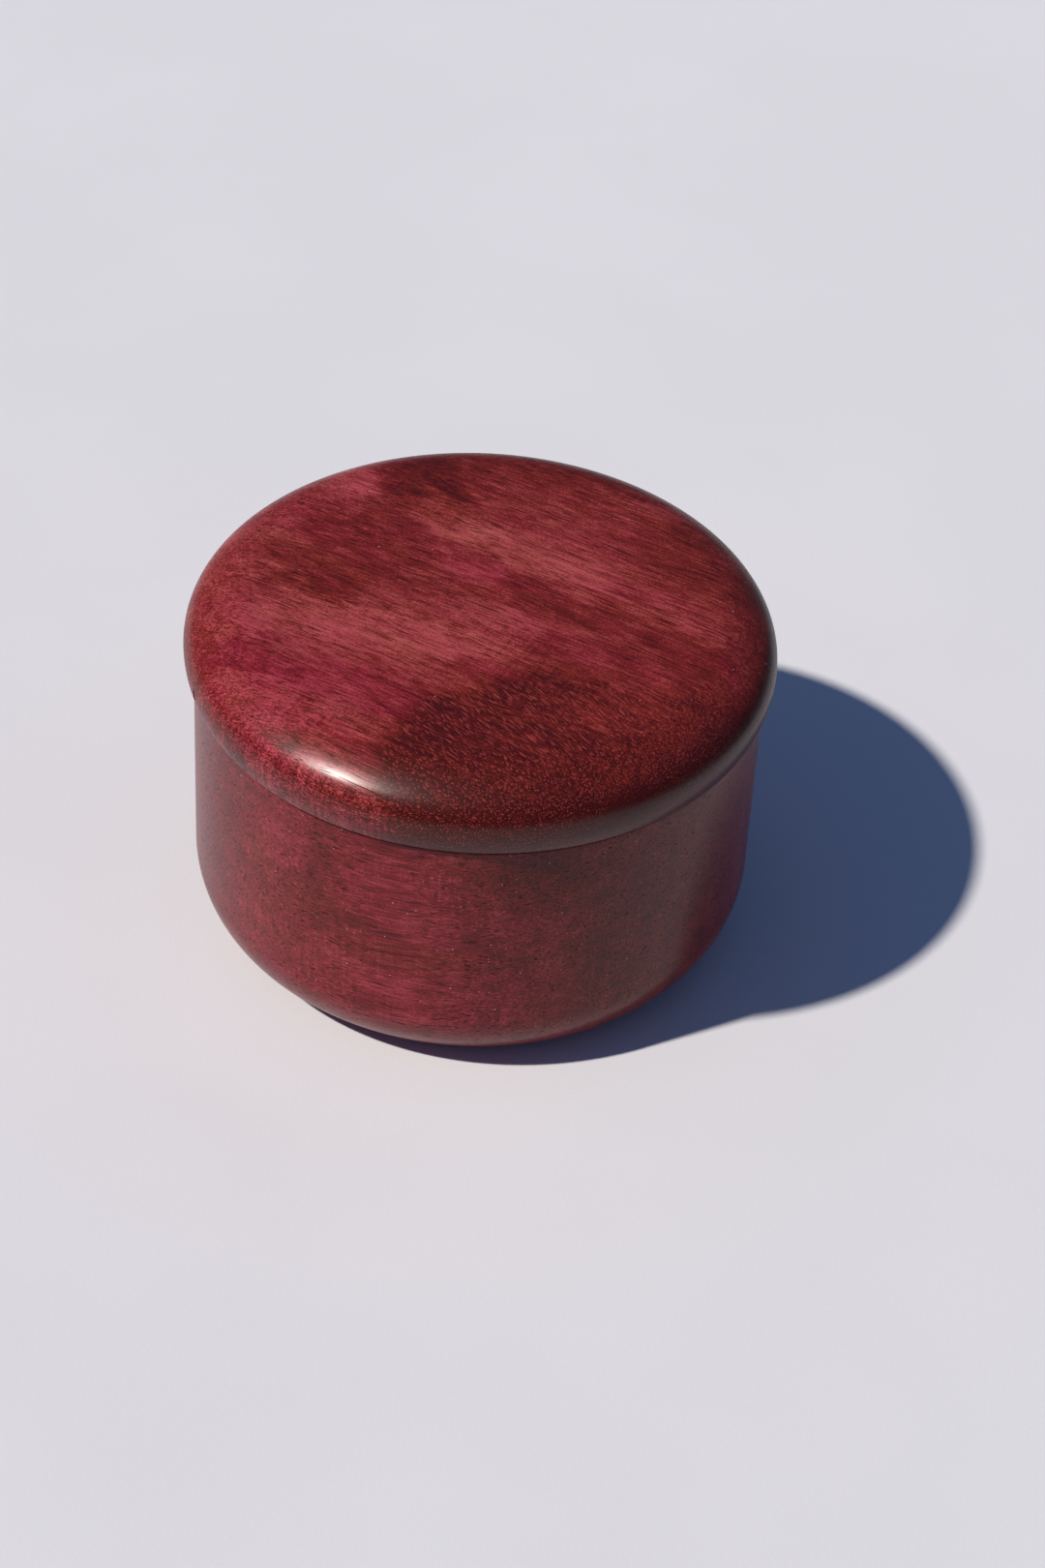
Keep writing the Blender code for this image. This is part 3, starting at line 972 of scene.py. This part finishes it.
def purpleheart(name, plan, heading):
    """The oiled timber of one piece."""
    look = bpy.context.scene.purpleheart
    material = bpy.data.materials.new(name)
    material.use_nodes = True
    material.node_tree.nodes.clear()
    nodes = Nodes(material.node_tree)
    around = nodes.add("ShaderNodeTexCoord").outputs
    position = around["Object"]
    inputs = {"Position": position, "Heading": heading, "Dip": plan.dip, "Sway": plan.sway}
    spaces = nodes.group(grain_space(), inputs)
    ends = nodes.group(end_grain(), {"Normal": around["Normal"], "Heading": heading})
    streaks = streak_values(nodes, plan, spaces["Grain"], ends["Side"])

    # Colour
    tone, magenta, diving = figure(nodes, plan, spaces, streaks, ends)
    wood = bare_wood(nodes, look, tone, magenta)
    vessels = vessel_mask(nodes, plan, spaces["Grain"], streaks["drifts"], diving)
    flecks = fleck_mask(nodes, plan, position, heading, diving)
    inputs = {"Position": position, "Spacing": plan.dust_spacing}
    dust = nodes.group(settled_dust(), inputs)["Mask"]
    marks = ((flecks, FLECKS, look.fleck), (vessels, VESSELS, look.vessel), (dust, DUST, look.dust))
    for mask, mark, shade in marks:
        wood = nodes.mix(nodes.math("MULTIPLY", mask, mark.cover), wood, (*shade, 1.0))

    # Finish
    rings = nodes.group(tool_rings(), {"Position": position})["Height"]
    roughness = nodes.weighted_sum(
        look.roughness,
        *((mask, mark.roughness) for mask, mark, _ in marks),
        (streaks["ribbons"], RIBBON_ROUGHNESS),
    )
    oil = nodes.weighted_sum(
        plan.oil, *((mask, -mark.oil_lost * plan.oil) for mask, mark, _ in marks if mark.oil_lost)
    )
    height = nodes.weighted_sum(rings, (vessels, VESSELS.height), *shares(streaks, "height"))
    bump = nodes.add("ShaderNodeBump", {"Height": height, "Distance": MM, "Strength": 1.0})
    shader = nodes.add(
        "ShaderNodeBsdfPrincipled",
        {
            "Base Color": wood,
            "Roughness": roughness,
            "Normal": bump.outputs[0],
            "IOR": look.ior,
            "Specular IOR Level": look.specular,
            "Coat Weight": nodes.math("MAXIMUM", oil, 0.0),
            "Coat Roughness": look.oil_roughness,
            "Coat IOR": plan.oil_ior,
            "Metallic": 0.0,
        },
    )
    nodes.add("ShaderNodeOutputMaterial", {"Surface": shader.outputs[0]})
    return material


# Operators


class TURNEDBOWL_OT_bowl(bpy.types.Operator):
    """Turns the bowl"""

    bl_idname = "turned_bowl.turn_bowl"
    bl_label = "Turn the bowl"

    def execute(self, context):
        sizes = context.scene.turned_bowl
        shape = turn_on_lathe(bowl_profile(sizes), context.scene.purpleheart.steps)
        timber = purpleheart("bowl_timber", BOWL_TIMBER, sizes.grain)
        bowl = piece_from(shape, "turned_bowl", timber)
        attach(bowl, "bowl")
        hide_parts("bowl")
        return {"FINISHED"}


class TURNEDBOWL_OT_lid(bpy.types.Operator):
    """Turns the lid, which drops into the bowl's mouth"""

    bl_idname = "turned_bowl.turn_lid"
    bl_label = "Turn the lid"

    def execute(self, context):
        sizes = context.scene.turned_lid
        mouth = context.scene.turned_bowl.radius - context.scene.turned_bowl.wall
        shape = turn_on_lathe(lid_profile(sizes, mouth), context.scene.purpleheart.steps)
        chip = Vector((
            -sizes.radius * math.sin(sizes.chip_heading),
            -sizes.radius * math.cos(sizes.chip_heading),
            sizes.bottom + sizes.spigot_depth + sizes.chip_height,
        ))
        tear_chip(shape, chip, (sizes.chip_width, sizes.chip_tall), sizes.chip_depth)
        timber = purpleheart("lid_timber", LID_TIMBER, sizes.grain)
        lid = piece_from(shape, "turned_lid", timber)
        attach(lid, "lid")
        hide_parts("lid")
        return {"FINISHED"}


def matt_floor(look):
    """Pale matt paint with a fine tooth, which fades out near the floor's border."""
    material = bpy.data.materials.new("floor_paint")
    material.use_nodes = True
    nodes = Nodes(material.node_tree)
    shader = material.node_tree.nodes["Principled BSDF"]
    around = nodes.add("ShaderNodeTexCoord").outputs
    position = around["Object"]
    inputs = {"Vector": position, "Scale": CLOUD_CELLS, "Detail": 3.0}
    clouds = nodes.add("ShaderNodeTexNoise", inputs)
    inputs = {"Vector": position, "Scale": TOOTH_CELLS, "Detail": 1.0}
    tooth = nodes.add("ShaderNodeTexNoise", inputs)
    shade = nodes.ramp(clouds.outputs[0], *CLOUD_VALUES)
    darker = tuple((1.0 - look.floor_unevenness) * part for part in look.floor_colour)
    paint = nodes.mix(shade, (*darker, 1.0), (*look.floor_colour, 1.0))
    bump = nodes.add("ShaderNodeBump", {"Height": tooth.outputs[0], "Distance": TOOTH_HEIGHT})
    from_middle = nodes.vector("SUBTRACT", around["Generated"], (0.5, 0.5, 0.0))
    from_middle = nodes.vector("ABSOLUTE", from_middle)
    along, back, _ = nodes.add("ShaderNodeSeparateXYZ", {0: from_middle}).outputs
    fades = [nodes.ramp(part, FADE_START, 0.5, 1.0, 0.0) for part in (along, back)]
    cover = nodes.math("MULTIPLY", *fades)
    nodes.join(paint, shader.inputs["Base Color"])
    nodes.join(cover, shader.inputs["Alpha"])
    nodes.join(bump.outputs[0], shader.inputs["Normal"])
    shader.inputs["Roughness"].default_value = look.floor_roughness
    shader.inputs["Specular IOR Level"].default_value = look.floor_specular
    return material


def make_floor(look):
    shape = bmesh.new()
    bmesh.ops.create_grid(shape, x_segments=1, y_segments=1, size=0.5)
    bmesh.ops.scale(shape, vec=(look.floor_width, look.floor_depth, 1.0), verts=shape.verts)
    floor = piece_from(shape, "floor", matt_floor(look))
    floor.location = (-look.floor_shift, 0.0, BOWL_LOW.z)


def make_fill(look):
    """Low, even light from all round, darker near the horizon. Past the floor the camera sees the
    pale backdrop. No metal or glass here would mirror it."""
    world = bpy.data.worlds.new("studio")
    bpy.context.scene.world = world
    world.use_nodes = True
    world.node_tree.nodes.clear()
    nodes = Nodes(world.node_tree)
    direction = nodes.add("ShaderNodeTexCoord").outputs["Generated"]
    height = nodes.add("ShaderNodeSeparateXYZ", {0: direction}).outputs[2]
    share = nodes.ramp(height, *FILL_RISE)
    fill = nodes.mix(share, (*look.fill_low, 1.0), (*look.fill_high, 1.0))
    seen = nodes.add("ShaderNodeLightPath").outputs["Is Camera Ray"]
    light = nodes.mix(seen, fill, (*look.backdrop, 1.0))
    background = nodes.add("ShaderNodeBackground", {"Color": light, "Strength": 1.0})
    nodes.add("ShaderNodeOutputWorld", {"Surface": background.outputs[0]})


def make_key(look):
    """The one strong light, high on the left and a little in front."""
    data = bpy.data.lights.new("key", "SUN")
    data.energy = look.key_strength
    data.color = look.key_colour
    data.angle = look.key_softness
    key = bpy.data.objects.new("key", data)
    level = math.cos(look.key_elevation)
    towards = Vector((
        -level * math.cos(look.key_heading),
        -level * math.sin(look.key_heading),
        math.sin(look.key_elevation),
    ))
    key.rotation_euler = towards.to_track_quat("Z", "Y").to_euler()
    key.location = towards
    bpy.context.scene.collection.objects.link(key)


def make_camera(look):
    data = bpy.data.cameras.new("camera")
    data.sensor_width = 36.0
    data.lens = look.lens
    camera = bpy.data.objects.new("camera", data)
    tilt = Matrix.Rotation(math.pi / 2 - look.camera_pitch, 4, "X")
    roll = Matrix.Rotation(look.camera_roll, 4, "Z")
    camera.matrix_world = Matrix.Translation(look.camera_place) @ tilt @ roll
    bpy.context.scene.collection.objects.link(camera)
    bpy.context.scene.camera = camera


class TURNEDBOWL_OT_studio(bpy.types.Operator):
    """Sets up the floor, the light and the camera"""

    bl_idname = "turned_bowl.set_studio"
    bl_label = "Set the studio"

    def execute(self, context):
        look = context.scene.studio
        make_floor(look)
        make_fill(look)
        make_key(look)
        make_camera(look)
        context.scene.view_settings.view_transform = "Standard"
        return {"FINISHED"}


class TURNEDBOWL_PT_sidebar(bpy.types.Panel):
    """Lists what the add-on makes"""

    bl_idname = "TURNEDBOWL_PT_sidebar"
    bl_label = "Turned Bowl"
    bl_space_type = "VIEW_3D"
    bl_region_type = "UI"
    bl_category = "Turned Bowl"

    def draw(self, context):
        for operator in OPERATORS:
            self.layout.operator(operator.bl_idname)
        for name in PROPERTIES:
            box = self.layout.box()
            settings = getattr(context.scene, name)
            for setting in settings.__annotations__:
                box.prop(settings, setting)


OPERATORS = (TURNEDBOWL_OT_studio, TURNEDBOWL_OT_bowl, TURNEDBOWL_OT_lid)
PROPERTIES = {
    "turned_bowl": BowlSizes,
    "turned_lid": LidSizes,
    "purpleheart": PurpleheartLook,
    "studio": StudioLook,
}


def register():
    for group in PROPERTIES.values():
        bpy.utils.register_class(group)
    for name, group in PROPERTIES.items():
        setattr(bpy.types.Scene, name, PointerProperty(type=group))
    for operator in OPERATORS:
        bpy.utils.register_class(operator)
    bpy.utils.register_class(TURNEDBOWL_PT_sidebar)


def unregister():
    bpy.utils.unregister_class(TURNEDBOWL_PT_sidebar)
    for operator in reversed(OPERATORS):
        bpy.utils.unregister_class(operator)
    for name in PROPERTIES:
        delattr(bpy.types.Scene, name)
    for group in reversed(PROPERTIES.values()):
        bpy.utils.unregister_class(group)


def main():
    register()
    bpy.ops.turned_bowl.set_studio()
    bpy.ops.turned_bowl.turn_bowl()
    bpy.ops.turned_bowl.turn_lid()


if __name__ == "__main__":
    main()
